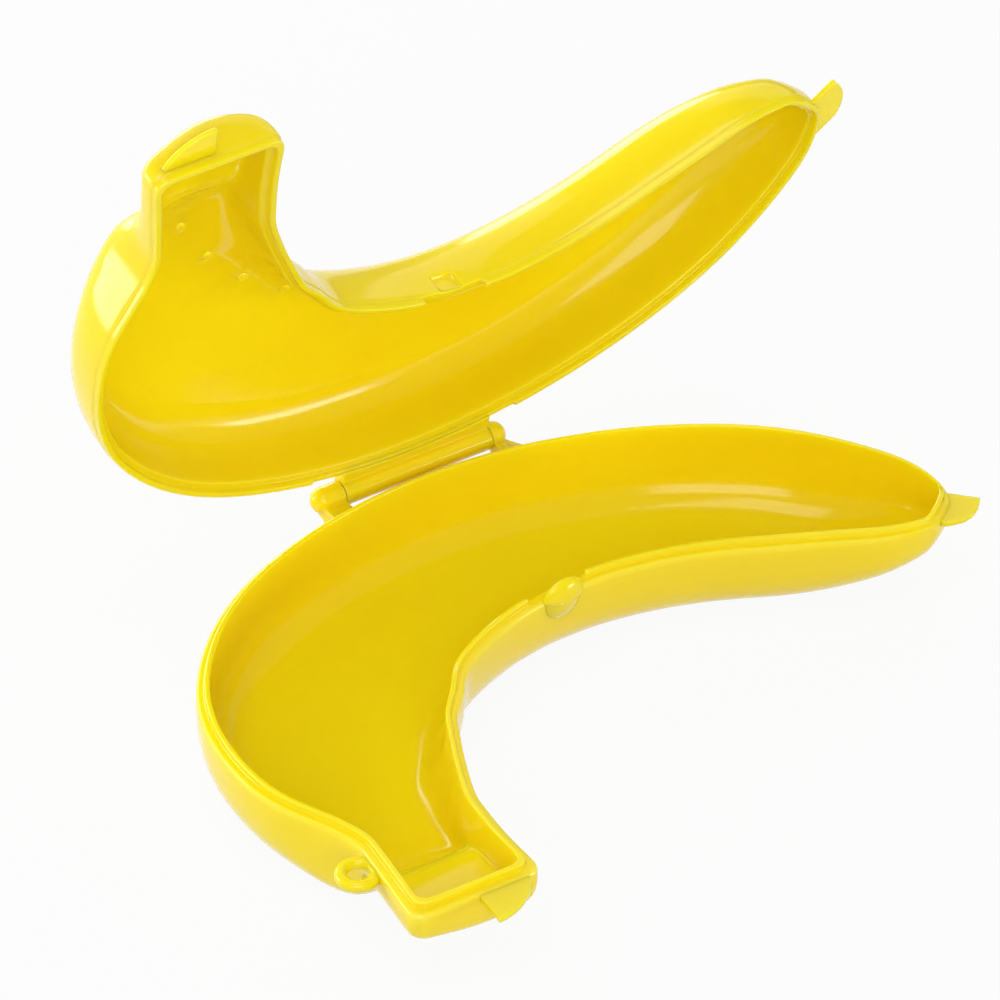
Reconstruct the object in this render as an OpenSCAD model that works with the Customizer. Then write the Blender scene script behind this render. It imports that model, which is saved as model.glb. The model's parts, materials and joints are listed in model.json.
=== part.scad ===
// Carrying case for one banana: two moulded half shells on a snap hinge, shown open.
// X runs along the hinge towards the tip, Y back towards the hinge, Z up.
// The origin is on the flat resting face, under the middle of the belly.
// A place along the case is given by s, the distance along its centre line from the belly:
// positive towards the tip, negative towards the stem.

/* [Centre line] */
// Length of the straight neck
neck_len = 54; // [45:1:65]
// Radius of the bend between neck and belly
bend_r = 52; // [46:1:65]
// Angle of the bend
bend_angle = 62; // [52:0.5:68]
// Radius of the belly on the side of the stem
rear_r = 112; // [95:1:140]
// Angle of the belly on the side of the stem
rear_angle = 25; // [18:1:28]
// Radius of the belly on the side of the tip
front_r = 120; // [100:1:150]
// Angle of the belly on the side of the tip
front_angle = 58; // [48:1:64]

/* [Width of the rim] */
// Width at the end of the stem
stem_end_w = 34.5; // [30:0.5:38]
// Width of the stem where it is narrowest
stem_w = 31; // [26:0.5:34]
// Length over which the stem flares to its end
stem_len = 26; // [20:1:32]
// Width where the neck meets the bend
shoulder_w = 54; // [46:0.5:58]
// Width in the middle of the bend
bend_w = 65; // [58:0.5:70]
// Width at the hinge
belly_w = 60; // [54:0.5:66]
// Distance from the hinge to where the front starts to taper
taper_at = 70; // [60:1:80]
// Width where the front starts to taper
taper_w = 53.5; // [46:0.5:58]
// Width at the tip, before it is rounded
tip_w = 28; // [22:0.5:34]
// Length of the rounded tip
tip_round = 19.5; // [14:0.5:26]
// Radius of the stem's corners in plan
corner_r = 3.5; // [2.5:0.25:5]

/* [Depth of each half] */
// Depth of the belly
half_depth = 24; // [23.5:0.5:28]
// Depth at the end of the tip
tip_depth = 7.5; // [7.5:0.5:12]
// Length over which the tip falls off
tip_fall = 36; // [26:1:40]
// Roundness of that fall in the base: 1 is straight, 2 is round
base_fall = 1.35; // [1.3:0.05:1.7]
// Roundness of that fall in the lid
lid_fall = 1.6; // [1.4:0.05:2]
// Depth of the stem at its sides
stem_depth = 9; // [8.5:0.5:12]
// Extra depth in the middle of the base's stem
base_crown = 2.8; // [1:0.2:4]
// Extra depth in the middle of the lid's stem
lid_crown = 6; // [2:0.2:7]
// Lean of that extra depth towards the concave side
crown_lean = 0.6; // [0:0.05:0.8]
// Length of the shallow stem
stem_block = 26; // [20:1:28]
// Length over which the stem swells to the belly's depth
stem_rise = 19; // [14:1:24]
// Radius between wall and floor along the belly
belly_fillet = 15; // [11:0.5:15]
// Radius between wall and floor at the stem
stem_fillet = 4; // [3.5:0.5:6]
// Radius between wall and floor at the end of the tip
tip_fillet = 4; // [3:0.25:4.25]

/* [Walls and rim] */
// Thickness of the floor
floor_t = 2.2; // [1.6:0.1:2.8]
// Width of the ledge that the lid sits on
ledge_w = 2.1; // [1.8:0.1:2.6]
// Thickness of the lip inside the ledge
lip_t = 1.4; // [1:0.1:1.8]
// Height of the lip above the ledge
lip_h = 1.8; // [1.2:0.1:2.2]
// Depth of the fine line around the lid
reveal = 0.35; // [0.2:0.05:0.5]
// Gap between lip and lid
rim_gap = 0.2; // [0.15:0.05:0.35]
// Gap between ledge and lid
seat_gap = 0.15; // [0.1:0.05:0.3]

/* [Hinge] */
// Place of the hinge and the latch along the case
hinge_at = -2; // [-6:0.5:4]
// Distance of the hinge axis from the wall
hinge_offset = 4.4; // [4:0.1:6]
// Length of the barrel
barrel_len = 45; // [36:1:52]
// Diameter of the barrel
barrel_d = 6.2; // [5.4:0.2:6.8]
// Diameter of the lugs
lug_d = 7.2; // [6:0.2:7.6]
// Length of the lug on the side of the stem, up to its domed end
long_lug_len = 5; // [4:0.5:7]
// Length of the lug on the side of the tip, up to its domed end
short_lug_len = 1.6; // [1.2:0.2:4]
// Gap between barrel and lug
lug_gap = 0.3; // [0.2:0.05:0.5]
// Diameter of the stub pins
pin_d = 3; // [2.4:0.1:3.4]
// Length of the stub pins
pin_len = 3.5; // [2.5:0.5:5]
// Running clearance around the pins, on the radius
pin_clear = 0.05; // [0.03:0.01:0.1]
// Length of the relief in the lid's rim along the hinge
relief_len = 50; // [48:1:60]
// Depth of that relief
relief_d = 0.8; // [0.4:0.1:1.2]
// Opening angle shown
open_angle = 75; // [0:1:180]

/* [Latch] */
// Length of the break in lip and lid at the latch
latch_gap = 18.5; // [16:0.5:22]
// Width of the tongue
tongue_w = 12; // [9:0.5:13]
// Height of the tongue above the ledge
tongue_h = 5.8; // [5:0.1:6.4]
// Reach of the tongue below the ledge
tongue_root = 8; // [7:0.25:8.5]
// Bulge of the tongue from the wall
tongue_bulge = 3; // [2.2:0.1:3.6]
// Gap behind the tongue
tongue_gap = 0.15; // [0.1:0.05:0.25]
// Width of the pocket in the lid
pocket_w = 6; // [5:0.5:9]
// Width of the pocket's sloping flanks
pocket_flank = 0.6; // [0.3:0.1:1]
// Depth of the pocket in the lid
pocket_d = 1.2; // [0.8:0.1:1.6]

/* [Vents] */
// Diameter of each vent in the lid
vent_d = 2.5; // [1.5:0.1:3.5]
// Number of vents
vent_count = 4; // [2:1:5]
// Radius of the arc that the vents follow
vent_arc = 94; // [88:1:100]
// Angle between vents on that arc
vent_pitch = 10.2; // [9:0.2:11]
// Angle of the first vent on that arc
vent_first = 151.6; // [150:0.2:152]
// Place of the arc's middle along X
vent_x = 10.5; // [8:0.5:13]
// Place of the arc's middle along Y
vent_y = -108; // [-110:0.5:-107]

/* [Loop and tabs] */
// Diameter of the loop's hole
loop_bore = 5; // [4:0.2:6]
// Width of the loop's ring
loop_ring = 3; // [2.4:0.1:3.6]
// Thickness of the loop
loop_t = 3; // [2.4:0.1:3.6]
// Distance of the loop from the end of the stem
loop_at = 22; // [16:1:26]
// Distance of the loop's centre from the wall
loop_reach = 3.4; // [3.2:0.1:4]
// Chamfer around the loop
loop_edge = 0.8; // [0.4:0.1:1.1]
// Depth of the loop's top below the ledge
loop_drop = 1; // [0.5:0.1:2]
// Thickness of the finger tabs
tab_t = 2; // [1.5:0.1:2.4]
// Reach of the finger tab on the base's stem
base_tab_reach = 8.5; // [6:0.5:10]
// Reach of the finger tab on the lid's stem
lid_tab_reach = 7.2; // [4:0.2:10]
// Width of the stem's finger tabs
stem_tab_w = 13.5; // [10:0.5:14.5]
// Reach of the tip's finger tabs
tip_tab_reach = 7; // [5:0.5:9]
// Width of the tip's finger tabs
tip_tab_w = 12.5; // [11:0.5:16]
// Straight length of the tip tabs' outer edge
tip_tab_flat = 2.5; // [0:0.5:4]
// Overlap of each tip tab past the line between the two
tip_tab_lap = 0.9; // [0.5:0.1:4]
// Distance of that line from the end of the centre line
tip_tab_shift = 7.9; // [5:0.1:9]
// Turn of the tip's tabs from the centre line
tip_tab_turn = 12; // [6:1:18]

/* [Hidden] */
$fn = 64;
case_yellow = [0.93, 0.81, 0.12];
rim_t = ledge_w + lip_t;
lip_clear = 0.4;
edge = 0.5;
step = 0.15;
seat_play = 0.05;
over = 1;
least_r = 1;
fine_fn = 128;
coarse_fn = 32;

// Lengths along the centre line
rear_len = rear_r * rear_angle * PI / 180;
bend_len = bend_r * bend_angle * PI / 180;
s_tip = front_r * front_angle * PI / 180;
s_neck = -(rear_len + bend_len);
s_bend = s_neck + bend_len / 2;
s_stem = s_neck - neck_len;
s_block = s_stem + stem_block;
s_full = s_block + stem_rise;
s_fall = s_tip - tip_fall;

// A smooth curve through the knots of a table, with no overshoot between them
function knot_rise(t, i) = (t[i + 1][1] - t[i][1]) / (t[i + 1][0] - t[i][0]);
function knot_slope(t, i) =
    i == 0 ? 0 : i == len(t) - 1 ? knot_rise(t, i - 1) :
    let (a = knot_rise(t, i - 1), b = knot_rise(t, i)) a * b <= 0 ? 0 : 2 * a * b / (a + b);
function curve(t, s) =
    let (i = max([for (k = [0:len(t) - 2]) if (k == 0 || s >= t[k][0]) k]),
         h = t[i + 1][0] - t[i][0], x = (s - t[i][0]) / h)
    t[i][1] * (1 + 2 * x) * (1 - x) * (1 - x) + t[i + 1][1] * x * x * (3 - 2 * x)
    + h * x * (1 - x) * (knot_slope(t, i) * (1 - x) - knot_slope(t, i + 1) * x);

// Point and heading of the centre line
function arc_end(p, r, from, to) = p - r * [sin(to) - sin(from), cos(from) - cos(to)];
rear_end = arc_end([0, 0], rear_r, 0, rear_angle);
neck_heading = rear_angle + bend_angle;
bend_end = arc_end(rear_end, bend_r, rear_angle, neck_heading);
function heading(s) =
    s >= 0 ? -s / front_r * 180 / PI :
    s >= -rear_len ? -s / rear_r * 180 / PI :
    s >= s_neck ? rear_angle - (s + rear_len) / bend_r * 180 / PI : neck_heading;
function centre(s) =
    s >= 0 ? front_r * [sin(s / front_r * 180 / PI), cos(s / front_r * 180 / PI) - 1] :
    s >= -rear_len ? arc_end([0, 0], rear_r, 0, heading(s)) :
    s >= s_neck ? arc_end(rear_end, bend_r, rear_angle, heading(s)) :
    bend_end + (s - s_neck) * [cos(neck_heading), sin(neck_heading)];
function beside(s, off) = centre(s) + off * [-sin(heading(s)), cos(heading(s))];

// Half the width of a loop, with the stem's corners and the tip rounded
width_knots = [[s_stem, stem_end_w], [s_stem + stem_len, stem_w], [s_neck, shoulder_w],
               [s_bend, bend_w], [0, belly_w], [taper_at, taper_w], [s_tip, tip_w]];
tip_power = 2.3;
function corner_cut(x) =
    x >= corner_r ? 0 : corner_r - sqrt(max(0, corner_r ^ 2 - (corner_r - x) ^ 2));
function tip_share(s) = max(0, (s - s_tip + tip_round) / tip_round);
function half_width(s, stem_in = 0) =
    curve(width_knots, s) / 2 * sqrt(1 - tip_share(s) ^ tip_power) - corner_cut(s - s_stem - stem_in);

// Depth: level along the stem, rounded at the shoulder, level along the belly, rounded off at the tip;
// the form of a half is its crown at the stem and its fall at the tip
base_form = [base_crown, base_fall];
lid_form = [lid_crown, lid_fall];
shoulder_power = 2;
function rounded(x, power) = (1 - (1 - min(1, max(0, x))) ^ power) ^ (1 / power);
function shoulder(s) = rounded((s - s_block) / stem_rise, shoulder_power);
function fall(s, form) = rounded((s_tip - s) / tip_fall, form[1]);
function crown_share(u) = max(0, 1 - u ^ 2) * (1 - crown_lean * u);
function depth(s, off, form) = s > s_fall ? tip_depth + (half_depth - tip_depth) * fall(s, form) :
    stem_depth + (half_depth - stem_depth) * shoulder(s)
    + form[0] * (1 - shoulder(s)) * crown_share(2 * off / stem_end_w);

// Radius between wall and floor
fillet_knots = [[s_stem, stem_fillet], [s_block, stem_fillet], [s_neck, belly_fillet], [s_fall, belly_fillet]];
function fillet(s, form) =
    s > s_fall ? tip_fillet + (belly_fillet - tip_fillet) * fall(s, form) : curve(fillet_knots, s);

// Stations along the case: the stem's corner, the stem, the shoulder, the bend up to the relief,
// the latch with a close pair at each edge of the relief, the gap and the pocket, the front, the tip
concave = 1 - belly_w / 2 / front_r;
gap_half = latch_gap / 2 / concave;
pocket_half = pocket_w / 2 / concave;
relief_half = relief_len / 2;
tip_end_share = 0.965;
function steps(from, to, count) = [for (i = [1:count]) from + (to - from) * i / count];
stations = concat(
    [for (a = [0:22.5:90]) s_stem + corner_r * (1 - cos(a))],
    steps(s_stem + corner_r, s_block, 2),
    [for (a = [18:18:90]) s_block + stem_rise * (1 - cos(a))],
    steps(s_full, hinge_at - relief_half, 15),
    [hinge_at - relief_half + step],
    steps(hinge_at - relief_half + step, hinge_at - gap_half, 4),
    [for (x = [-gap_half + step, -pocket_half - pocket_flank, -pocket_half, 0,
               pocket_half, pocket_half + pocket_flank, gap_half - step, gap_half]) hinge_at + x],
    steps(hinge_at + gap_half, hinge_at + relief_half - step, 3),
    [hinge_at + relief_half],
    steps(hinge_at + relief_half, s_tip - tip_round, 8),
    [for (a = [15:15:60]) s_tip - tip_round * (1 - sin(a))],
    [s_tip - tip_round * (1 - tip_end_share)]);
last = len(stations) - 1;
crowned = len([for (s = stations) if (s < s_full) s]);
function near_hinge(i, half) = abs(stations[i] - hinge_at) < half - step / 2;

// A station moved in by one inset at the end of the stem and another at the tip
function station(i, stem_in, tip_in) = stations[i]
    + stem_in * max(0, 1 - (stations[i] - s_stem) / stem_block)
    - tip_in * max(0, 1 - (s_tip - stations[i]) / tip_fall);
// Points around a loop, as station and share of the half width: the convex side from stem to tip,
// the concave side back again, then three points across the end of the stem
across = [0.5, 0, -0.5];
around = concat([for (i = [0:last]) [i, 1]], [for (i = [last:-1:0]) [i, -1]],
                [for (j = [2:-1:0]) [0, across[j]]]);

// A loop at one inset from the rim, and at one level or at a share of the way down the straight wall
function rim_loop(inset, z, gap_z, pocket = 0, share = 0, relief = 0) = [for (k = around)
    let (s = station(k[0], inset, inset),
         dent = k[1] == -1 && near_hinge(k[0], pocket_half + step) ? pocket : 0,
         level = k[1] == -1 && near_hinge(k[0], gap_half) ? gap_z :
             k[1] == 1 && near_hinge(k[0], relief_half) ? z - relief : z,
         off = k[1] * (half_width(s, inset) - inset - dent), p = beside(s, off))
    [p[0], p[1], level - share * (depth(s, off, lid_form) - fillet(s, lid_form) + level)]];

// A point in the fillet between wall and floor: a = 0 at the wall, 90 at the floor
function fillet_point(i, share, a, wall, floor, form) =
    let (stem_in = wall + max(stem_fillet - wall, least_r) * (1 - cos(a)),
         s = station(i, stem_in, wall + max(tip_fillet - wall, least_r) * (1 - cos(a))),
         r = max(fillet(s, form) - wall, least_r),
         off = share * (half_width(s, stem_in) - wall - r * (1 - cos(a))), p = beside(s, off))
    [p[0], p[1], -(depth(s, off, form) - floor - r * (1 - sin(a)))];
function fillet_loop(a, wall, floor, form) =
    [for (k = around) fillet_point(k[0], k[1], a, wall, floor, form)];
function floor_points(wall, floor, form) =
    [for (i = [1:crowned - 1]) for (q = across) fillet_point(i, q, 90, wall, floor, form)];
fillet_steps = [0, 22.5, 45, 67.5, 90];
function outer_skin(form) = [for (k = [4:-1:0]) fillet_loop(fillet_steps[k], 0, 0, form)];
function inner_skin(form) = [for (a = fillet_steps) fillet_loop(a, rim_t, floor_t, form)];

// The rims, from the outer wall over the edge to the inner wall; the lid's wall has a pocket for
// the tongue, with a low catch at its edge that the tongue's nub passes, and a relief along the hinge
base_rim = [rim_loop(0, -edge, -edge), rim_loop(edge, 0, 0), rim_loop(ledge_w, 0, 0),
            rim_loop(ledge_w, lip_h, step), rim_loop(rim_t, lip_h, step), rim_loop(rim_t, -edge, -edge)];
nub_r = 0.5;
nub_clear = 0.15;
nub_up = 1;
nub_side = 1;
catch_d = nub_r - tongue_gap + nub_clear;
pocket_shares = [0.8, 0.7, 0.07, 0.03];
skirt_in = ledge_w - rim_gap;
skirt_top = -lip_h - lip_clear;
function lid_wall(dent, share) = rim_loop(0, skirt_top - step, skirt_top - step, dent, share);
lid_rim = [lid_wall(0, pocket_shares[0]), lid_wall(pocket_d, pocket_shares[1]),
           lid_wall(pocket_d, pocket_shares[2]), lid_wall(catch_d, pocket_shares[3]), lid_wall(catch_d, 0),
           rim_loop(reveal, skirt_top, skirt_top, catch_d - reveal),
           rim_loop(reveal, -seat_gap, skirt_top + step, catch_d - reveal, 0, relief_d),
           rim_loop(skirt_in, -seat_gap, skirt_top + step, 0, 0, relief_d),
           rim_loop(skirt_in, skirt_top, skirt_top),
           rim_loop(rim_t, skirt_top - step, skirt_top - step)];

// The floor's points at one station, from the convex to the concave side, and the strip up to the next
function floor_line(i, loop, extra) =
    let (a = loop + i, b = loop + 2 * last + 1 - i, end = loop + 2 * last + 4, c = extra + 3 * (i - 1))
    i == 0 ? [a, end, end - 1, end - 2, b] : i < crowned ? [a, c, c + 1, c + 2, b] : [a, b];
function floor_strip(p, q) = len(p) == len(q) ?
    [for (j = [0:len(p) - 2]) for (f = [[p[j], p[j + 1], q[j]], [q[j], p[j + 1], q[j + 1]]]) f] :
    [[p[0], p[1], q[0]], [p[1], p[2], q[0]], [p[2], q[1], q[0]], [p[2], p[3], q[1]], [p[3], p[4], q[1]]];
function floor_faces(loop, extra) = [for (i = [0:last - 1])
    for (f = floor_strip(floor_line(i, loop, extra), floor_line(i + 1, loop, extra))) f];

// A half shell with its rim in the plane z = 0 and its hollow open upwards
module shell(rim, form) {
    loops = concat(outer_skin(form), rim, inner_skin(form));
    n = len(around);
    rows = len(loops);
    under = floor_points(0, 0, form);
    sides = [for (r = [0:rows - 2]) for (k = [0:n - 1])
        let (a = r * n + k, b = r * n + (k + 1) % n) for (f = [[a, b, a + n], [b, b + n, a + n]]) f];
    below = floor_faces(0, rows * n);
    above = [for (f = floor_faces((rows - 1) * n, rows * n + len(under))) [f[0], f[2], f[1]]];
    polyhedron(concat([for (l = loops) for (p = l) p], under, floor_points(rim_t, floor_t, form)),
               concat(sides, below, above));
}

// The plan of the rim as a column, a little larger, to trim what seats on the wall
module rim_column(play) {
    translate([0, 0, -half_depth])
        linear_extrude(2 * half_depth) polygon([for (p = rim_loop(-play, 0, 0)) [p[0], p[1]]]);
}

// The hinge axis, and the lid turned about it from closed to open
hinge_x = centre(hinge_at)[0];
hinge_y = belly_w / 2 + hinge_offset;
module on_base() {
    translate([0, 0, half_depth]) children();
}
module on_lid() {
    translate([0, hinge_y, half_depth]) rotate([-open_angle, 0, 0]) translate([0, -hinge_y, 0])
        mirror([0, 0, 1]) children();
}
// A cylinder or an extruded outline along X from one place on the hinge axis, towards the tip or,
// for side -1, towards the stem; the outline's own axes become Y and Z
module on_axis(x, side = 1) {
    translate([hinge_x, 0, 0]) mirror([side < 0 ? 1 : 0, 0, 0])
        translate([x, hinge_y, 0]) rotate([90, 0, 90]) children();
}

module base_shell() {
    color(case_yellow) on_base() shell(base_rim, base_form);
}

module lid_shell() {
    color(case_yellow) on_lid() difference() {
        shell(lid_rim, lid_form);
        for (i = [0:vent_count - 1]) let (a = vent_first - i * vent_pitch)
            translate([vent_x + vent_arc * cos(a), vent_y + vent_arc * sin(a), -half_depth - over])
                cylinder(d = vent_d, h = half_depth, $fn = coarse_fn);
    }
}

// A lug with a domed end, a stub pin towards the barrel and a gusset down to the wall
foot_h = half_depth - belly_fillet - over;
foot_in = 14;
foot_turn = -50;
web_over = lug_d / 4;
module lug(side, length) {
    start = barrel_len / 2 + lug_gap;
    color(case_yellow) on_base() difference() {
        union() {
            on_axis(start, side) cylinder(d = lug_d, h = length);
            on_axis(start + length, side) rotate_extrude() intersection() {
                circle(d = lug_d, $fn = coarse_fn);
                square(lug_d);
            }
            on_axis(start, side) linear_extrude(length + web_over)
                polygon([[0, -seat_gap], lug_d / 2 * [cos(foot_turn), sin(foot_turn)],
                         [-foot_in, -foot_h], [-foot_in, -seat_gap]]);
            on_axis(start - pin_len, side) cylinder(d = pin_d, h = pin_len + length);
        }
        rim_column(seat_play);
    }
}

module left_hinge_lug() {
    lug(-1, long_lug_len);
}

module right_hinge_lug() {
    lug(1, short_lug_len);
}

// The barrel with a blind hole in each end, on a gusset along the lid's wall
module hinge_barrel() {
    color(case_yellow) on_lid() difference() {
        on_axis(-barrel_len / 2) {
            cylinder(d = barrel_d, h = barrel_len);
            linear_extrude(barrel_len)
                polygon([[0, -2 * seat_gap], [0, -barrel_d / 2], [-foot_in, -foot_h], [-foot_in, -2 * seat_gap]]);
        }
        for (side = [-1, 1])
            on_axis(barrel_len / 2 - pin_len, side) cylinder(d = pin_d + 2 * pin_clear, h = pin_len + over);
        rim_column(seat_play);
    }
}

// The thumb tongue: an arch in front view with a crowned face, a root that joins the wall
// and a small nub on its back
root_h = 3;
crown_up = 0.5;
module latch_tongue() {
    wall_y = centre(hinge_at)[1] - half_width(hinge_at);
    arch_r = tongue_w / 2;
    crown_r = ((tongue_root + crown_up) ^ 2 + tongue_bulge ^ 2) / (2 * tongue_bulge);
    color(case_yellow) on_base() {
        difference() {
            intersection() {
                translate([hinge_x, wall_y + over, 0]) rotate([90, 0, 0]) linear_extrude(tongue_bulge + over) {
                    translate([0, tongue_h - arch_r]) circle(arch_r);
                    translate([-arch_r, -tongue_root]) square([tongue_w, tongue_root + tongue_h - arch_r]);
                }
                translate([hinge_x - tongue_w, wall_y - tongue_bulge + crown_r, crown_up])
                    rotate([0, 90, 0]) cylinder(r = crown_r, h = 2 * tongue_w, $fn = fine_fn);
            }
            rim_column(seat_play);
            translate([0, 0, half_depth - tongue_root + root_h]) rim_column(tongue_gap);
        }
        translate([hinge_x, wall_y - tongue_gap, nub_up - skirt_top]) rotate([0, 90, 0])
            cylinder(r = nub_r, h = pocket_w - 2 * nub_side, center = true, $fn = coarse_fn);
    }
}

// A ring beside the neck, with a chamfered outer edge
module key_loop() {
    s = s_stem + loop_at;
    place = beside(s, half_width(s) + loop_reach);
    r = loop_bore / 2 + loop_ring;
    color(case_yellow) on_base() difference() {
        translate([place[0], place[1], -loop_drop - loop_t]) difference() {
            union() {
                translate([0, 0, loop_edge]) cylinder(r = r, h = loop_t - 2 * loop_edge);
                cylinder(r1 = r - loop_edge, r2 = r, h = loop_edge);
                translate([0, 0, loop_t - loop_edge]) cylinder(r1 = r, r2 = r - loop_edge, h = loop_edge);
            }
            translate([0, 0, -over]) cylinder(d = loop_bore, h = loop_t + 2 * over);
        }
        rim_column(seat_play);
    }
}

// A finger tab that reaches out along X, with a straight edge on one side and an arc on the other
module finger_tab(reach, w, flat, side) {
    arc_r = ((w - flat) ^ 2 + reach ^ 2) / (2 * reach);
    mirror([0, side < 0 ? 1 : 0, 0]) linear_extrude(tab_t) intersection() {
        translate([-w, 0]) square([w + reach, w]);
        union() {
            translate([reach - arc_r, flat]) circle(arc_r, $fn = fine_fn);
            if (flat > 0) translate([-w, 0]) square([w + reach, flat]);
        }
    }
}

// The finger tabs of one half, at the stem or the tip; side 1 is the convex side
module stem_tab(reach, side) {
    p = centre(s_stem);
    difference() {
        translate([p[0], p[1], 0]) rotate(neck_heading + 180)
            finger_tab(reach, stem_tab_w, 0, -side);
        rim_column(seat_play);
    }
}

module tip_tab(side) {
    p = centre(s_tip);
    difference() {
        translate([p[0], p[1], 0]) rotate(tip_tab_turn + heading(s_tip))
            translate([0, tip_tab_shift - side * tip_tab_lap, 0])
                finger_tab(tip_tab_reach, tip_tab_w, tip_tab_flat, side);
        rim_column(seat_play);
    }
}

module base_stem_tab() {
    color(case_yellow) on_base() translate([0, 0, -tab_t]) stem_tab(base_tab_reach, -1);
}

module base_tip_tab() {
    color(case_yellow) on_base() translate([0, 0, -tab_t]) tip_tab(-1);
}

module lid_stem_tab() {
    color(case_yellow) on_lid() translate([0, 0, skirt_top - step - tab_t]) stem_tab(lid_tab_reach, 1);
}

module lid_tip_tab() {
    color(case_yellow) on_lid() translate([0, 0, skirt_top - step - tab_t]) tip_tab(1);
}

base_shell();
left_hinge_lug();
right_hinge_lug();
latch_tongue();
key_loop();
base_stem_tab();
base_tip_tab();
lid_shell();
hinge_barrel();
lid_stem_tab();
lid_tip_tab();
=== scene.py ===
"""Looks of a hinged two-shell carrying case in glossy yellow plastic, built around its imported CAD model."""
import json
import math

import bpy
from mathutils import Matrix, Vector
from mathutils.bvhtree import BVHTree


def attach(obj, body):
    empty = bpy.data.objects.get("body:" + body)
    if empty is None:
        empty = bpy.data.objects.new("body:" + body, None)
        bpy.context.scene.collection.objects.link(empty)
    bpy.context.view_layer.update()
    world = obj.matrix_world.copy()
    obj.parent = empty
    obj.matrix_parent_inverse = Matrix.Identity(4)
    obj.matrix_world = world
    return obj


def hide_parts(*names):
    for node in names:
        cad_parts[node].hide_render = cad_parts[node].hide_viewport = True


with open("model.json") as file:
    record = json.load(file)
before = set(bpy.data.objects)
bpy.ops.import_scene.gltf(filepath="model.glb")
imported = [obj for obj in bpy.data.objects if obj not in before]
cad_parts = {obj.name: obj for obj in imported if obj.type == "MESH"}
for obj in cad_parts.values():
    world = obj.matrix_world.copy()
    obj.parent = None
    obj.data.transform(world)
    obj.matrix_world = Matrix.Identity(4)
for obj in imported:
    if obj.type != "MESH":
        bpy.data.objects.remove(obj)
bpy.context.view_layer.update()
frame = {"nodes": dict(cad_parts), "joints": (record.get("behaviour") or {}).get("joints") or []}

bl_info = {
    "name": "Hinged Carrying Case",
    "version": (1, 0, 0),
    "blender": (4, 5, 0),
    "location": "View3D > Sidebar > Carrying Case",
    "description": "Dresses the hinged carrying case: shells, hinge, latch, loop, finger tabs and studio",
    "category": "Add Mesh",
}

MM = 0.001
EPSILON = 0.001 * MM
SENSOR_WIDTH = 36.0

# How nearly a face has to look one way, or two faces have to touch, to count
FACING = 0.9
WALL_TOUCH = 0.12 * MM
BACK_TOUCH = 0.03 * MM

# Welding and pairing of the CAD triangles, and the angles that tell an edge from a bend
SAME_POINT = 0.002 * MM
PAIR_BEND = math.radians(25)
PAIR_SKEW = math.radians(60)
EDGE_ANGLE = math.radians(55)
SHADE_ANGLE = math.radians(60)

# Share of the way that a smoothing pass moves a point, and the passes on the even skin of the small pieces
SMOOTHING = 0.5
HINGE_PASSES = 6
DOME_PASSES = 3
LOOP_PASSES = 4
TAB_PASSES = 12

# Barrel and lugs, as distances from the hinge's axis, and the way in which the short lug's web runs out
GUSSET_FROM = 3.6 * MM
ROUND_FACING = 0.99
END_FACING = 0.1
WEB_FROM = 3.0 * MM
WEB_RUN = Vector((1.0, -0.4, -0.5))

# Thumb dome and loop: their points, the angle within which points share a column, how fast the dome thins
DOME_RINGS = 24
LOOP_SEGMENTS, LOOP_SIDES = 96, 32
COLUMN_ANGLE = 0.01
DOME_TAPER = 1.5

# Neck and stem of the shells, as a place across the case and a distance from the hinge
BEND = (-62.5 * MM, 114.0 * MM)
BEND_CORE = 4.0 * MM
BEND_FADE = 14.0 * MM
NECK_MIDDLE = (10.5 * MM, 142.4 * MM)
NECK_FROM = 72.0 * MM
NECK_TO = {"base": 108.0 * MM, "lid": 120.0 * MM}
NECK_RADIUS = {"base": 88.0 * MM, "lid": 90.0 * MM}
NECK_PASSES = 3
STEM_CUTS = 2
INSIDE, OUTSIDE = 1, -1

# Plastic: each pattern's scale and detail, the range in which it shows, and its share or strength
CLOUDS, CLOUD_RANGE, CLOUD_SHARE = (14.0, 3.0), (0.3, 0.7), 0.5
MARKS, MARK_RANGE, MARK_ROUGHNESS = (160.0, 4.0), (0.52, 0.72), 0.05
PEEL, PEEL_STRENGTH, PEEL_HEIGHT = (700.0, 1.0), 0.03, 0.2 * MM
WAVES, WAVE_STRENGTH, WAVE_HEIGHT = (70.0, 1.0), 0.05, 1.0 * MM
# The edge pattern paints a sheen: pointy edges are painted paler in place of their highlights, and they are
# also made a little rougher
EDGE_RANGE, EDGE_SHEEN_SHARE, EDGE_ROUGHNESS = (0.51, 0.60), 0.85, 0.03

# Floor, and each lamp's name, place, size and power
FLOOR_SIZE = 6.0
FLOOR_DROP = 0.2 * MM
FLOOR_WHITE = 0.93
LAMP_AIM = (0.0, 0.0, 0.06)
LAMPS = (
    ("back_softbox", (0.0, 1.15, 0.3), (1.1, 0.5), 7.0),
    ("sky_softbox", (0.64, 0.8, 0.9), (1.1, 0.9), 3.0),
    ("top_softbox", (-0.35, -0.2, 1.45), (0.9, 0.9), 7.0),
    ("front_softbox", (-0.7, -1.1, 0.75), (0.9, 0.9), 9.0),
    ("right_strip", (0.64, -0.77, 0.12), (0.4, 0.18), 2.2),
    ("left_strip", (-0.75, 0.6, 0.18), (0.5, 0.35), 4.0),
)


def joint_place(name):
    """A point on a joint's axis."""
    return Vector(next(j for j in frame["joints"] if j["name"] == name)["pos_m"])


HINGE = joint_place("lid_hinge")
LID_LEAN = math.radians(75)
MOUTH = {"base": Vector((0, 0, 1)), "lid": Vector((0, -math.sin(LID_LEAN), -math.cos(LID_LEAN)))}
ALONG = {"base": Vector((0, -1, 0)), "lid": Vector((0, -math.cos(LID_LEAN), math.sin(LID_LEAN)))}


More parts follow.
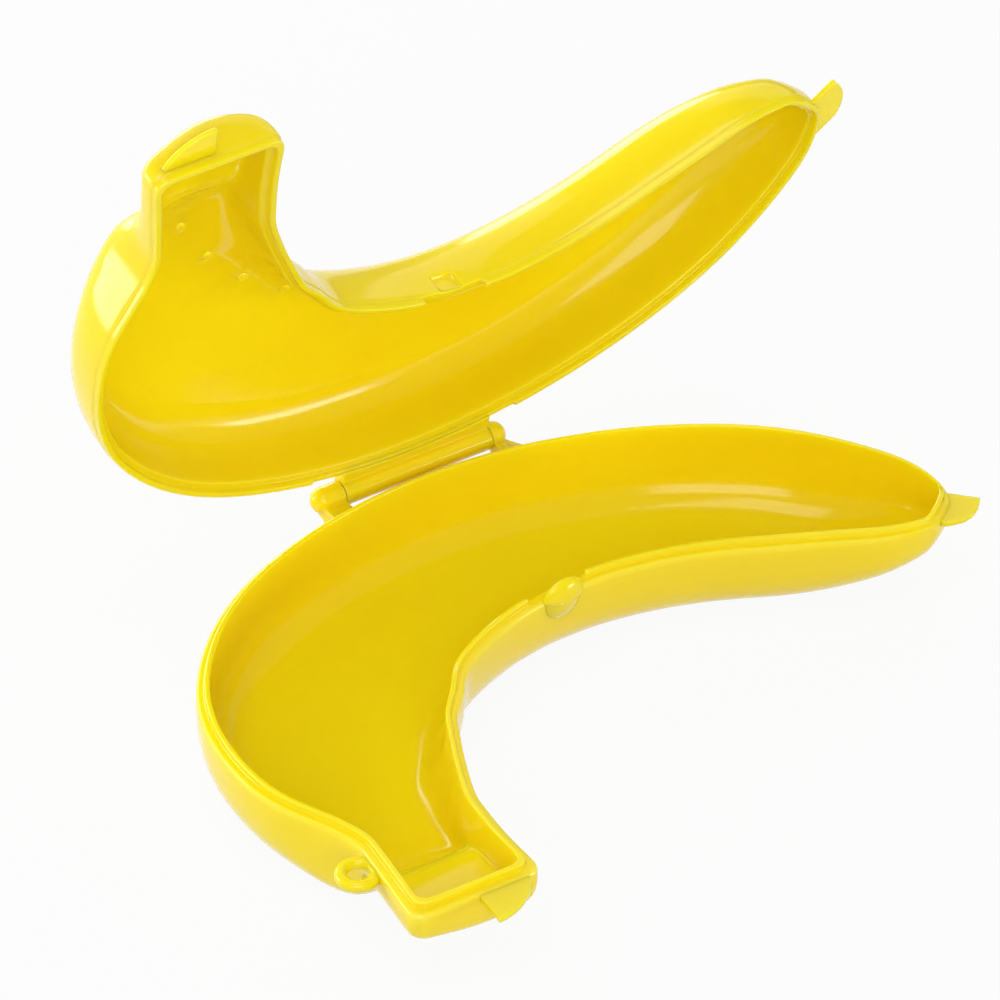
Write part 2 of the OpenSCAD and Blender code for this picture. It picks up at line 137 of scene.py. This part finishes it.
class MouldingSizes(bpy.types.PropertyGroup):
    """Roundings, roots and small forms of the moulded pieces."""

    rim_round: bpy.props.FloatProperty(
        name="Rim rounding", description="Radius on the edges of the rims and lips",
        default=0.4 * MM, min=0.1 * MM, max=0.6 * MM, subtype="DISTANCE", unit="LENGTH")
    rim_height: bpy.props.FloatProperty(
        name="Rim height", description="Depth from the mouth at which the plain walls begin",
        default=4.5 * MM, min=3.0 * MM, max=8.0 * MM, subtype="DISTANCE", unit="LENGTH")
    stem_from: bpy.props.FloatProperty(
        name="Stem from", description="Distance from the hinge beyond which a shell counts as its stem",
        default=100.5 * MM, min=99.0 * MM, max=115.0 * MM, subtype="DISTANCE", unit="LENGTH")
    stem_passes: bpy.props.IntProperty(
        name="Stem passes", description="Times that a stem and the lid's outer shoulder are softened",
        default=24, min=0, max=100)
    bend_shift: bpy.props.FloatProperty(
        name="Bend shift", description="Outward shift of the bend between the stem and the neck",
        default=1.6 * MM, min=0.0, max=2.0 * MM, subtype="DISTANCE", unit="LENGTH")
    shoulder_from: bpy.props.FloatProperty(
        name="Shoulder from", description="Distance from the hinge at which the lid's outer shoulder begins",
        default=102.0 * MM, min=90.0 * MM, max=112.0 * MM, subtype="DISTANCE", unit="LENGTH")
    shoulder_to: bpy.props.FloatProperty(
        name="Shoulder to", description="Distance from the hinge at which the lid's outer shoulder ends",
        default=128.0 * MM, min=120.0 * MM, max=136.0 * MM, subtype="DISTANCE", unit="LENGTH")
    weld: bpy.props.FloatProperty(
        name="Weld", description="Distance below which points of a shell are merged",
        default=0.2 * MM, min=0.0, max=0.5 * MM, subtype="DISTANCE", unit="LENGTH")
    grain: bpy.props.FloatProperty(
        name="Grain", description="Spacing of the even skin on the small pieces",
        default=0.25 * MM, min=0.1 * MM, max=0.6 * MM, subtype="DISTANCE", unit="LENGTH")
    root_depth: bpy.props.FloatProperty(
        name="Root depth", description="Depth to which a moulded-on piece is sunk into the wall",
        default=0.9 * MM, min=0.0, max=1.5 * MM, subtype="DISTANCE", unit="LENGTH")
    web_flare: bpy.props.FloatProperty(
        name="Web flare", description="Spread of the short lug's web along the wall",
        default=5.0 * MM, min=0.0, max=8.0 * MM, subtype="DISTANCE", unit="LENGTH")
    gusset_root: bpy.props.FloatProperty(
        name="Gusset root", description="Depth to which the barrel's gusset is sunk into the lid's wall",
        default=1.4 * MM, min=0.0, max=2.0 * MM, subtype="DISTANCE", unit="LENGTH")
    barrel_swell: bpy.props.FloatProperty(
        name="Barrel swell", description="Growth of the barrel's round face",
        default=0.35 * MM, min=0.0, max=0.5 * MM, subtype="DISTANCE", unit="LENGTH")
    tab_drop: bpy.props.FloatProperty(
        name="Tab drop", description="Depth of a finger tab's face below the rim",
        default=0.5 * MM, min=0.0, max=1.0 * MM, subtype="DISTANCE", unit="LENGTH")
    ring_radius: bpy.props.FloatProperty(
        name="Ring radius", description="Radius of the loop to the middle of its round section",
        default=4.0 * MM, min=3.0 * MM, max=5.0 * MM, subtype="DISTANCE", unit="LENGTH")
    ring_tube: bpy.props.FloatProperty(
        name="Ring section", description="Radius of the loop's round section",
        default=1.5 * MM, min=1.0 * MM, max=2.0 * MM, subtype="DISTANCE", unit="LENGTH")
    thumb_width: bpy.props.FloatProperty(
        name="Thumb width", description="Width of the latch's thumb dome",
        default=12.4 * MM, min=9.0 * MM, max=13.0 * MM, subtype="DISTANCE", unit="LENGTH")
    thumb_bulge: bpy.props.FloatProperty(
        name="Thumb bulge", description="Reach of the thumb dome from the wall",
        default=3.2 * MM, min=2.0 * MM, max=3.5 * MM, subtype="DISTANCE", unit="LENGTH")
    thumb_rise: bpy.props.FloatProperty(
        name="Thumb rise", description="Height of the thumb dome above the ledge",
        default=5.8 * MM, min=5.0 * MM, max=6.4 * MM, subtype="DISTANCE", unit="LENGTH")
    thumb_fall: bpy.props.FloatProperty(
        name="Thumb fall", description="Reach of the thumb dome below the ledge",
        default=8.0 * MM, min=7.0 * MM, max=8.5 * MM, subtype="DISTANCE", unit="LENGTH")
    thumb_root: bpy.props.FloatProperty(
        name="Thumb root", description="Height of the part of the thumb dome that joins the wall",
        default=6.5 * MM, min=1.0 * MM, max=7.0 * MM, subtype="DISTANCE", unit="LENGTH")
    thumb_crease: bpy.props.FloatProperty(
        name="Thumb crease", description="Bulge below the ledge as a share of that above it",
        default=0.94, min=0.7, max=1.0, subtype="FACTOR")
    thumb_shift: bpy.props.FloatProperty(
        name="Thumb shift", description="Shift of the thumb dome along the wall, towards the tip",
        default=0.7 * MM, min=0.0, max=1.0 * MM, subtype="DISTANCE", unit="LENGTH")
    thumb_gap: bpy.props.FloatProperty(
        name="Thumb gap", description="Gap between the thumb dome and the wall behind it",
        default=0.6 * MM, min=0.1 * MM, max=0.8 * MM, subtype="DISTANCE", unit="LENGTH")


class PlasticLook(bpy.types.PropertyGroup):
    """Colours and gloss of the yellow plastic."""

    body_colour: bpy.props.FloatVectorProperty(
        name="Body", description="Colour of the plastic in the wall",
        default=(0.895, 0.715, 0.006), size=3, min=0, max=1, subtype="COLOR")
    deep_colour: bpy.props.FloatVectorProperty(
        name="Deep", description="Colour where the pigment gathers",
        default=(0.865, 0.65, 0.003), size=3, min=0, max=1, subtype="COLOR")
    # Painted sheen: the paler colour painted on pointy edges in place of their highlights
    edge_sheen_colour: bpy.props.FloatVectorProperty(
        name="Edge", description="Paler colour of thin and rubbed edges",
        default=(0.96, 0.84, 0.17), size=3, min=0, max=1, subtype="COLOR")
    roughness: bpy.props.FloatProperty(
        name="Roughness", description="Roughness of the polished surface",
        default=0.13, min=0.0, max=1.0, subtype="FACTOR")
    glow: bpy.props.FloatProperty(
        name="Glow", description="Share of the light that spreads inside the wall",
        default=0.6, min=0.0, max=1.0, subtype="FACTOR")


class StudioLook(bpy.types.PropertyGroup):
    """Camera and light of the studio."""

    azimuth: bpy.props.FloatProperty(
        name="Azimuth", description="Camera's turn about the upright axis, from the front",
        default=math.radians(-35.95), subtype="ANGLE")
    elevation: bpy.props.FloatProperty(
        name="Elevation", description="Camera's height as an angle",
        default=math.radians(37.04), subtype="ANGLE")
    roll: bpy.props.FloatProperty(
        name="Roll", description="Camera's turn about its own line of sight",
        default=math.radians(1.89), subtype="ANGLE")
    lens: bpy.props.FloatProperty(
        name="Lens", description="Focal length on a sensor 36 mm wide, in millimetres",
        default=144.0, min=10.0, max=400.0)
    distance: bpy.props.FloatProperty(
        name="Distance", description="Distance from the camera to the hinge, along its line of sight",
        default=1.0312, min=0.1, max=10.0, subtype="DISTANCE", unit="LENGTH")
    hinge_across: bpy.props.FloatProperty(
        name="Hinge across", description="Place of the hinge in the image, in widths from its middle",
        default=-0.0858, min=-0.5, max=0.5)
    hinge_down: bpy.props.FloatProperty(
        name="Hinge down", description="Place of the hinge in the image, in heights below its middle",
        default=-0.0351, min=-0.5, max=0.5)
    floor_tone: bpy.props.FloatProperty(
        name="Floor tone", description="Grey value of the floor",
        default=0.65, min=0.0, max=1.0, subtype="FACTOR")
    world_level: bpy.props.FloatProperty(
        name="Room light", description="Strength of the light from all around",
        default=0.3, min=0.0, max=2.0)


class Wire:
    """A value in a node tree. Arithmetic on it adds Math nodes."""

    def __init__(self, board, socket):
        self.board = board
        self.socket = socket

    def _maths(self, operation, *values):
        node = self.board.add("ShaderNodeMath", {"operation": operation}, dict(enumerate(values)))
        return Wire(self.board, node.outputs[0])

    def __add__(self, other):
        return self._maths("ADD", self, other)

    def __sub__(self, other):
        return self._maths("SUBTRACT", self, other)

    def __rsub__(self, other):
        return self._maths("SUBTRACT", other, self)

    def __mul__(self, other):
        return self._maths("MULTIPLY", self, other)

    __radd__ = __add__
    __rmul__ = __mul__


class Board:
    """The node tree of one material, or of the world, while it is laid out."""

    def __init__(self, tree):
        self.tree = tree
        self.tree.nodes.clear()

    def add(self, kind, settings=None, sockets=None):
        """Adds a node, makes its settings, then fills or links its sockets."""
        node = self.tree.nodes.new(kind)
        for name, value in (settings or {}).items():
            setattr(node, name, value)
        for name, value in (sockets or {}).items():
            if isinstance(value, Wire):
                self.tree.links.new(value.socket, node.inputs[name])
            else:
                node.inputs[name].default_value = value
        return node

    def wire(self, kind, settings=None, sockets=None, output=0):
        """The same as add, but gives one of the node's outputs."""
        return Wire(self, self.add(kind, settings, sockets).outputs[output])

    def noise(self, place, scale, detail):
        return self.wire("ShaderNodeTexNoise", {}, {"Vector": place, "Scale": scale, "Detail": detail})

    def step(self, value, low, high):
        return self.wire("ShaderNodeMapRange", {"interpolation_type": "SMOOTHSTEP"},
                         {"Value": value, "From Min": low, "From Max": high})

    def mix(self, share, first, second):
        return self.wire("ShaderNodeMix", {"data_type": "RGBA"},
                         {"Factor": share, 6: first, 7: second}, output=2)


def yellow_plastic():
    """Glossy yellow plastic: slight pigment clouds, a painted sheen that makes the pointy edges paler, fine
    orange peel, faint rubbing.
    """
    known = bpy.data.materials.get("yellow_plastic")
    if known:
        return known
    look = bpy.context.scene.case_plastic
    material = bpy.data.materials.new("yellow_plastic")
    material.use_nodes = True
    board = Board(material.node_tree)
    place = board.wire("ShaderNodeTexCoord", output="Object")
    clouds = board.step(board.noise(place, *CLOUDS), *CLOUD_RANGE)
    marks = board.step(board.noise(place, *MARKS), *MARK_RANGE)
    peel = board.noise(place, *PEEL)
    waves = board.noise(place, *WAVES)
    edges = board.step(board.wire("ShaderNodeNewGeometry", output="Pointiness"), *EDGE_RANGE)
    body = board.mix(clouds * CLOUD_SHARE, (*look.body_colour, 1), (*look.deep_colour, 1))
    # Painted sheen: pointy edges are painted towards the paler edge colour
    colour = board.mix(edges * EDGE_SHEEN_SHARE, body, (*look.edge_sheen_colour, 1))
    fine = board.wire("ShaderNodeBump", {}, {
        "Strength": PEEL_STRENGTH, "Distance": PEEL_HEIGHT, "Height": peel})
    bump = board.wire("ShaderNodeBump", {}, {
        "Strength": WAVE_STRENGTH, "Distance": WAVE_HEIGHT, "Height": waves, "Normal": fine})
    plastic = board.wire("ShaderNodeBsdfPrincipled", {"subsurface_method": "RANDOM_WALK"}, {
        "Base Color": colour,
        "Roughness": look.roughness + marks * MARK_ROUGHNESS + edges * EDGE_ROUGHNESS,
        "IOR": 1.45,
        "Specular IOR Level": 0.4,
        "Subsurface Weight": look.glow,
        "Subsurface Radius": (1.0, 0.95, 0.15),
        "Subsurface Scale": 4.0 * MM,
        "Normal": bump})
    board.add("ShaderNodeOutputMaterial", {}, {"Surface": plastic})
    return material


def only(piece):
    """Leaves object mode clean, with this one piece selected and active."""
    bpy.ops.object.select_all(action="DESELECT")
    piece.select_set(True)
    bpy.context.view_layer.objects.active = piece


def edit(piece):
    """Opens a piece in edit mode with nothing selected."""
    only(piece)
    bpy.ops.object.mode_set(mode="EDIT")
    bpy.ops.mesh.select_mode(type="VERT")
    bpy.ops.mesh.select_all(action="DESELECT")


def pick_points(piece, wanted):
    """Selects the points of the piece in edit mode that the test wants, by their place."""
    bpy.ops.mesh.select_all(action="DESELECT")
    bpy.ops.object.mode_set(mode="OBJECT")
    for point in piece.data.vertices:
        point.select = wanted(point.co)
    bpy.ops.object.mode_set(mode="EDIT")
    bpy.ops.mesh.select_mode(type="VERT")


def pick_faces(piece, wanted):
    """Selects the faces of the piece in edit mode that the test wants, by their middle and normal."""
    bpy.ops.mesh.select_mode(type="FACE")
    bpy.ops.mesh.select_all(action="DESELECT")
    bpy.ops.object.mode_set(mode="OBJECT")
    for face in piece.data.polygons:
        face.select = wanted(face.center, face.normal)
    bpy.ops.object.mode_set(mode="EDIT")


def scaled(x, y, z):
    """Scales the selected points about the origin."""
    bpy.ops.transform.resize(value=(x, y, z), center_override=(0, 0, 0))


def wall_of(shell):
    """A shell's surface, for finding the place on it that is nearest to a point."""
    mesh = frame["nodes"][shell].data
    return BVHTree.FromPolygons([p.co for p in mesh.vertices], [f.vertices for f in mesh.polygons])


def copied(node, name, weld):
    """A piece with its own copy of a CAD node's mesh, its loose triangles welded and paired."""
    piece = bpy.data.objects.new(name, frame["nodes"][node].data.copy())
    piece.data.name = name
    bpy.context.scene.collection.objects.link(piece)
    edit(piece)
    bpy.ops.mesh.select_all(action="SELECT")
    bpy.ops.mesh.remove_doubles(threshold=weld)
    bpy.ops.mesh.tris_convert_to_quads(face_threshold=PAIR_BEND, shape_threshold=PAIR_SKEW)
    bpy.ops.object.mode_set(mode="OBJECT")
    return piece


def apply_modifier(piece, kind, **settings):
    """Adds one modifier to a piece and applies it."""
    only(piece)
    modifier = piece.modifiers.new(kind.lower(), kind)
    for name, value in settings.items():
        setattr(modifier, name, value)
    bpy.ops.object.modifier_apply(modifier=modifier.name)


def soften(piece, body, sizes, side, cuts, passes, zone):
    """Divides the skin on one side of a shell, below the rim and in a zone, and smooths its corners."""
    mouth, along = MOUTH[body], ALONG[body]
    picked = {tuple(point.co) for point in piece.data.vertices
              if point.normal.dot(mouth) * side > 0
              and (HINGE - point.co).dot(mouth) > sizes.rim_height
              and zone(point.co.x, (point.co - HINGE).dot(along))}
    edit(piece)
    pick_points(piece, lambda point: tuple(point) in picked)
    if cuts:
        bpy.ops.mesh.subdivide(number_cuts=cuts)
    bpy.ops.mesh.vertices_smooth(factor=SMOOTHING, repeat=passes)
    bpy.ops.object.mode_set(mode="OBJECT")


def ease_bend(piece, body, sizes):
    """Pushes the bend between stem and neck outwards, fading out around it, so that it runs as one arc."""
    along = ALONG[body]
    edit(piece)
    pick_points(piece, lambda point: math.hypot(
        point.x - BEND[0], (point - HINGE).dot(along) - BEND[1]) < BEND_CORE)
    bpy.ops.transform.translate(
        value=(sizes.bend_shift, 0, 0), use_proportional_edit=True,
        proportional_edit_falloff="SMOOTH", proportional_size=BEND_FADE)
    bpy.ops.object.mode_set(mode="OBJECT")


def moulded_shell(piece, body, sizes):
    """Eases a shell's bend, softens its neck and stem, rounds its rims and smooths its walls."""

    def in_neck(x, reach):
        beside = math.hypot(x - NECK_MIDDLE[0], reach - NECK_MIDDLE[1]) < NECK_RADIUS[body]
        return beside and NECK_FROM < reach < NECK_TO[body]

    def on_shoulder(x, reach):
        return sizes.shoulder_from < reach < sizes.shoulder_to

    def in_stem(x, reach):
        return reach > sizes.stem_from

    ease_bend(piece, body, sizes)
    soften(piece, body, sizes, INSIDE, 0, NECK_PASSES, in_neck)
    if body == "lid":
        soften(piece, body, sizes, OUTSIDE, STEM_CUTS, sizes.stem_passes, on_shoulder)
    soften(piece, body, sizes, INSIDE, STEM_CUTS, sizes.stem_passes, in_stem)
    apply_modifier(piece, "BEVEL", width=sizes.rim_round, segments=2, limit_method="ANGLE",
                   angle_limit=EDGE_ANGLE, use_clamp_overlap=False, miter_outer="MITER_SHARP")
    apply_modifier(piece, "SUBSURF", levels=1, render_levels=1)
    bpy.ops.object.shade_smooth_by_angle(angle=SHADE_ANGLE)


def sunk(piece, shell, depth):
    """Extrudes the faces that lie against a shell's wall into the wall."""
    wall = wall_of(shell)
    edit(piece)
    pick_faces(piece, lambda middle, normal: wall.find_nearest(middle)[3] < WALL_TOUCH)
    bpy.ops.mesh.extrude_region_shrink_fatten(TRANSFORM_OT_shrink_fatten={"value": depth})
    bpy.ops.object.mode_set(mode="OBJECT")


def moulded_piece(piece, grain, passes):
    """Gives a small piece an even skin with soft edges."""
    apply_modifier(piece, "REMESH", mode="VOXEL", voxel_size=grain)
    apply_modifier(piece, "SMOOTH", factor=SMOOTHING, iterations=passes)
    bpy.ops.object.shade_smooth()


def finish_piece(piece, body, *nodes):
    """Gives a piece its plastic and its body, and hides the CAD nodes that it stands for."""
    piece.data.materials.clear()
    piece.data.materials.append(yellow_plastic())
    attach(piece, body)
    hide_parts(*nodes)


class CASE_OT_base_shell(bpy.types.Operator):
    """Model the base shell with its ledge and lip"""

    bl_idname = "case.base_shell"
    bl_label = "Base Shell"

    def execute(self, context):
        sizes = context.scene.case_sizes
        piece = copied("base_shell", "base_tray", sizes.weld)
        moulded_shell(piece, "base", sizes)
        finish_piece(piece, "base", "base_shell")
        return {"FINISHED"}


class CASE_OT_lid_shell(bpy.types.Operator):
    """Model the lid shell with its skirt and vents"""

    bl_idname = "case.lid_shell"
    bl_label = "Lid Shell"

    def execute(self, context):
        sizes = context.scene.case_sizes
        piece = copied("lid_shell", "lid_cover", sizes.weld)
        moulded_shell(piece, "lid", sizes)
        finish_piece(piece, "lid", "lid_shell")
        return {"FINISHED"}


class CASE_OT_hinge(bpy.types.Operator):
    """Model the hinge lugs and the barrel"""

    bl_idname = "case.hinge"
    bl_label = "Hinge"

    def execute(self, context):
        sizes = context.scene.case_sizes
        for node, name, body in (("left_hinge_lug", "long_lug", "base"),
                                 ("right_hinge_lug", "short_lug", "base"),
                                 ("hinge_barrel", "barrel", "lid")):
            piece = copied(node, name, SAME_POINT)
            if name == "barrel":
                self.root(piece, sizes.gusset_root)
                self.swell(piece, sizes.barrel_swell)
            else:
                sunk(piece, body + "_shell", sizes.root_depth)
            if name == "short_lug":
                self.flare(piece, sizes.web_flare)
            moulded_piece(piece, sizes.grain, HINGE_PASSES)
            finish_piece(piece, body, node)
        return {"FINISHED"}

    def root(self, piece, depth):
        """Lengthens the gusset into the lid's wall and the relief in it."""
        inwards = ALONG["lid"]
        edit(piece)
        pick_faces(piece, lambda middle, normal: normal.dot(inwards) > FACING
                   and (middle - HINGE).dot(inwards) > GUSSET_FROM)
        bpy.ops.mesh.extrude_region_move(TRANSFORM_OT_translate={"value": inwards * depth})
        bpy.ops.object.mode_set(mode="OBJECT")

    def swell(self, piece, growth):
        """Thickens the barrel's round face, away from the ends and the gusset."""

        def is_round(middle, normal):
            outwards = Vector((0, middle.y - HINGE.y, middle.z - HINGE.z)).normalized()
            return abs(normal.x) < END_FACING and normal.dot(outwards) > ROUND_FACING

        edit(piece)
        pick_faces(piece, is_round)
        bpy.ops.transform.shrink_fatten(value=growth)
        bpy.ops.object.mode_set(mode="OBJECT")

    def flare(self, piece, reach):
        """Draws the foot of a lug's web out along the wall."""
        foot = HINGE.y - WEB_FROM
        outer = max(point.co.x for point in piece.data.vertices if point.co.y < foot)
        edit(piece)
        pick_points(piece, lambda point: point.y < foot and point.x > outer - EPSILON)
        bpy.ops.transform.translate(value=WEB_RUN * reach)
        bpy.ops.object.mode_set(mode="OBJECT")


class CASE_OT_latch(bpy.types.Operator):
    """Model the latch tongue as a thumb dome that runs out into the wall"""

    bl_idname = "case.latch"
    bl_label = "Latch Tongue"

    def execute(self, context):
        sizes = context.scene.case_sizes
        bpy.ops.object.select_all(action="DESELECT")
        bpy.ops.mesh.primitive_uv_sphere_add(segments=4 * DOME_RINGS, ring_count=2 * DOME_RINGS, radius=1.0)
        piece = bpy.context.object
        piece.name = piece.data.name = "tongue"
        edit(piece)
        self.shape(piece, sizes)
        self.cut(piece, sizes)
        bpy.ops.mesh.select_all(action="SELECT")
        bpy.ops.transform.translate(
            value=joint_place("latch_flex") + Vector((sizes.thumb_shift, 0, sizes.thumb_fall)))
        bpy.ops.object.mode_set(mode="OBJECT")
        moulded_piece(piece, sizes.grain, DOME_PASSES)
        finish_piece(piece, "latch", "latch_tongue")
        return {"FINISHED"}

    def shape(self, piece, sizes):
        """Turns the ball into a dome, and thins its lower half towards the sides and the foot."""
        turns = [0.5 * math.pi * step / DOME_RINGS for step in range(1, DOME_RINGS)]
        for turn in turns:
            pick_points(piece, lambda point: point.z < -EPSILON and point.y < 0
                        and abs(math.atan2(-point.y, abs(point.x)) - turn) < COLUMN_ANGLE)
            scaled(1, math.sin(turn), 1)
        bpy.ops.mesh.select_all(action="SELECT")
        scaled(sizes.thumb_width / 2, sizes.thumb_bulge, sizes.thumb_rise)
        pick_points(piece, lambda point: point.z < -EPSILON)
        scaled(1, sizes.thumb_crease, sizes.thumb_fall / sizes.thumb_rise)
        for turn in turns:
            pick_points(piece, lambda point: abs(point.z + sizes.thumb_fall * math.sin(turn)) < EPSILON)
            scaled(1, math.cos(turn) ** DOME_TAPER, 1)

    def cut(self, piece, sizes):
        """Cuts the dome off in front of the wall, closes its back and draws the foot of it into the wall."""
        root_top = sizes.thumb_root - sizes.thumb_fall
        bpy.ops.mesh.select_all(action="SELECT")
        bpy.ops.mesh.bisect(plane_co=(0, -sizes.thumb_gap, 0), plane_no=(0, 1, 0), clear_outer=True)
        bpy.ops.mesh.select_all(action="DESELECT")
        bpy.ops.mesh.select_non_manifold()
        bpy.ops.mesh.edge_face_add()
        bpy.ops.mesh.select_all(action="SELECT")
        bpy.ops.mesh.bisect(plane_co=(0, 0, root_top), plane_no=(0, 0, 1))
        pick_faces(piece, lambda middle, normal: abs(middle.y + sizes.thumb_gap) < BACK_TOUCH
                   and abs(normal.y) > FACING and middle.z < root_top)
        bpy.ops.mesh.extrude_region_move(
            TRANSFORM_OT_translate={"value": (0, sizes.thumb_gap + sizes.root_depth, 0)})


class CASE_OT_loop(bpy.types.Operator):
    """Model the key loop as a round ring that grows out of the wall"""

    bl_idname = "case.loop"
    bl_label = "Key Loop"

    def execute(self, context):
        sizes = context.scene.case_sizes
        middle = self.middle(sizes.ring_radius + sizes.ring_tube)
        bpy.ops.object.select_all(action="DESELECT")
        bpy.ops.mesh.primitive_torus_add(major_radius=sizes.ring_radius, minor_radius=sizes.ring_tube,
                                         major_segments=LOOP_SEGMENTS, minor_segments=LOOP_SIDES)
        piece = bpy.context.object
        piece.name = piece.data.name = "loop"
        edit(piece)
        bpy.ops.mesh.select_all(action="SELECT")
        bpy.ops.transform.translate(value=middle)
        place, outward = wall_of("base_shell").find_nearest(middle)[:2]
        bpy.ops.mesh.bisect(plane_co=place - outward * sizes.root_depth, plane_no=outward,
                            use_fill=True, clear_inner=True)
        bpy.ops.object.mode_set(mode="OBJECT")
        moulded_piece(piece, sizes.grain, LOOP_PASSES)
        finish_piece(piece, "base", "key_loop")
        return {"FINISHED"}

    def middle(self, reach):
        """The middle of the loop's hole, from the outermost points of the CAD node."""
        points = [point.co for point in frame["nodes"]["key_loop"].data.vertices]
        low = Vector([min(point[axis] for point in points) for axis in range(3)])
        high = Vector([max(point[axis] for point in points) for axis in range(3)])
        return Vector((low.x + reach, low.y + reach, (low.z + high.z) / 2))


class CASE_OT_tabs(bpy.types.Operator):
    """Model the four finger tabs"""

    bl_idname = "case.tabs"
    bl_label = "Finger Tabs"

    def execute(self, context):
        sizes = context.scene.case_sizes
        for node, body in (("base_stem_tab", "base"), ("base_tip_tab", "base"),
                           ("lid_stem_tab", "lid"), ("lid_tip_tab", "lid")):
            piece = copied(node, node.replace("_tab", "_finger"), SAME_POINT)
            sunk(piece, body + "_shell", sizes.root_depth)
            edit(piece)
            pick_faces(piece, lambda middle, normal: normal.dot(MOUTH[body]) > FACING)
            bpy.ops.transform.translate(value=MOUTH[body] * -sizes.tab_drop)
            bpy.ops.object.mode_set(mode="OBJECT")
            moulded_piece(piece, sizes.grain, TAB_PASSES)
            finish_piece(piece, body, node)
        return {"FINISHED"}


def softbox(name, place, aim, size, power):
    """A rectangular lamp that looks at a point."""
    bpy.ops.object.light_add(type="AREA", location=place)
    lamp = bpy.context.object
    lamp.name = name
    lamp.data.shape = "RECTANGLE"
    lamp.data.size, lamp.data.size_y = size
    lamp.data.energy = power
    lamp.rotation_euler = (Vector(aim) - Vector(place)).to_track_quat("-Z", "Y").to_euler()


class CASE_OT_studio(bpy.types.Operator):
    """Set up the floor, the lamps and the camera"""

    bl_idname = "case.studio"
    bl_label = "Studio"

    def execute(self, context):
        look = context.scene.case_studio
        self.lay_floor(look)
        self.hang_lamps()
        self.light_room(context.scene, look)
        self.aim_camera(context.scene, look)
        context.scene.view_settings.view_transform = "Standard"
        return {"FINISHED"}

    def lay_floor(self, look):
        bpy.ops.object.select_all(action="DESELECT")
        bpy.ops.mesh.primitive_plane_add(size=FLOOR_SIZE, location=(0, 0, -FLOOR_DROP))
        floor = bpy.context.object
        floor.name = "floor"
        material = bpy.data.materials.new("white_floor")
        material.use_nodes = True
        board = Board(material.node_tree)
        seen = self.seen(board)
        paper = board.wire("ShaderNodeBsdfDiffuse", {}, {"Color": (look.floor_tone,) * 3 + (1,)})
        white = board.wire("ShaderNodeEmission", {}, {"Color": (1, 1, 1, 1), "Strength": 1.0})
        shown = board.wire("ShaderNodeMixShader", {}, {0: seen * FLOOR_WHITE, 1: paper, 2: white})
        board.add("ShaderNodeOutputMaterial", {}, {"Surface": shown})
        floor.data.materials.append(material)

    def seen(self, board):
        """One where a ray comes from the camera, a reflection or through glass."""
        rays = board.add("ShaderNodeLightPath")
        camera, glossy, through = (Wire(board, rays.outputs[name]) for name in (
            "Is Camera Ray", "Is Glossy Ray", "Is Transmission Ray"))
        return board.wire("ShaderNodeClamp", {}, {"Value": camera + glossy + through})

    def hang_lamps(self):
        for name, place, size, power in LAMPS:
            softbox(name, place, LAMP_AIM, size, power)

    def light_room(self, scene, look):
        scene.world = scene.world or bpy.data.worlds.new("studio")
        scene.world.use_nodes = True
        board = Board(scene.world.node_tree)
        white = (1, 1, 1, 1)
        sky = board.wire("ShaderNodeBackground", {}, {"Color": white, "Strength": look.world_level})
        backdrop = board.wire("ShaderNodeBackground", {}, {"Color": white, "Strength": 1.0})
        rays = board.wire("ShaderNodeLightPath", output="Is Camera Ray")
        shown = board.wire("ShaderNodeMixShader", {}, {0: rays, 1: sky, 2: backdrop})
        board.add("ShaderNodeOutputWorld", {}, {"Surface": shown})

    def aim_camera(self, scene, look):
        back = Vector((math.sin(look.azimuth) * math.cos(look.elevation),
                       -math.cos(look.azimuth) * math.cos(look.elevation), math.sin(look.elevation)))
        level = (-back).cross(Vector((0, 0, 1))).normalized()
        upright = level.cross(-back)
        right = math.cos(look.roll) * level + math.sin(look.roll) * upright
        up = math.cos(look.roll) * upright - math.sin(look.roll) * level
        reach = look.distance * SENSOR_WIDTH / look.lens
        place = (HINGE + back * look.distance
                 - right * look.hinge_across * reach + up * look.hinge_down * reach)
        bpy.ops.object.camera_add()
        camera = bpy.context.object
        camera.data.lens = look.lens
        camera.data.sensor_width = SENSOR_WIDTH
        camera.matrix_world = Matrix.Translation(place) @ Matrix((right, up, back)).transposed().to_4x4()
        scene.camera = camera


class CASE_PT_panel(bpy.types.Panel):
    """Lists the steps that dress the case"""

    bl_label = "Carrying Case"
    bl_idname = "CASE_PT_panel"
    bl_space_type = "VIEW_3D"
    bl_region_type = "UI"
    bl_category = "Carrying Case"

    def draw(self, context):
        for step in STEPS:
            self.layout.operator(step.bl_idname)


STEPS = (CASE_OT_base_shell, CASE_OT_lid_shell, CASE_OT_hinge, CASE_OT_latch, CASE_OT_loop,
         CASE_OT_tabs, CASE_OT_studio)
CLASSES = (MouldingSizes, PlasticLook, StudioLook, *STEPS, CASE_PT_panel)


def register():
    for kind in CLASSES:
        bpy.utils.register_class(kind)
    bpy.types.Scene.case_sizes = bpy.props.PointerProperty(type=MouldingSizes)
    bpy.types.Scene.case_plastic = bpy.props.PointerProperty(type=PlasticLook)
    bpy.types.Scene.case_studio = bpy.props.PointerProperty(type=StudioLook)


def unregister():
    del bpy.types.Scene.case_sizes, bpy.types.Scene.case_plastic, bpy.types.Scene.case_studio
    for kind in reversed(CLASSES):
        bpy.utils.unregister_class(kind)


def main():
    register()
    for step in STEPS:
        group, name = step.bl_idname.split(".")
        getattr(getattr(bpy.ops, group), name)()


if __name__ == "__main__":
    main()
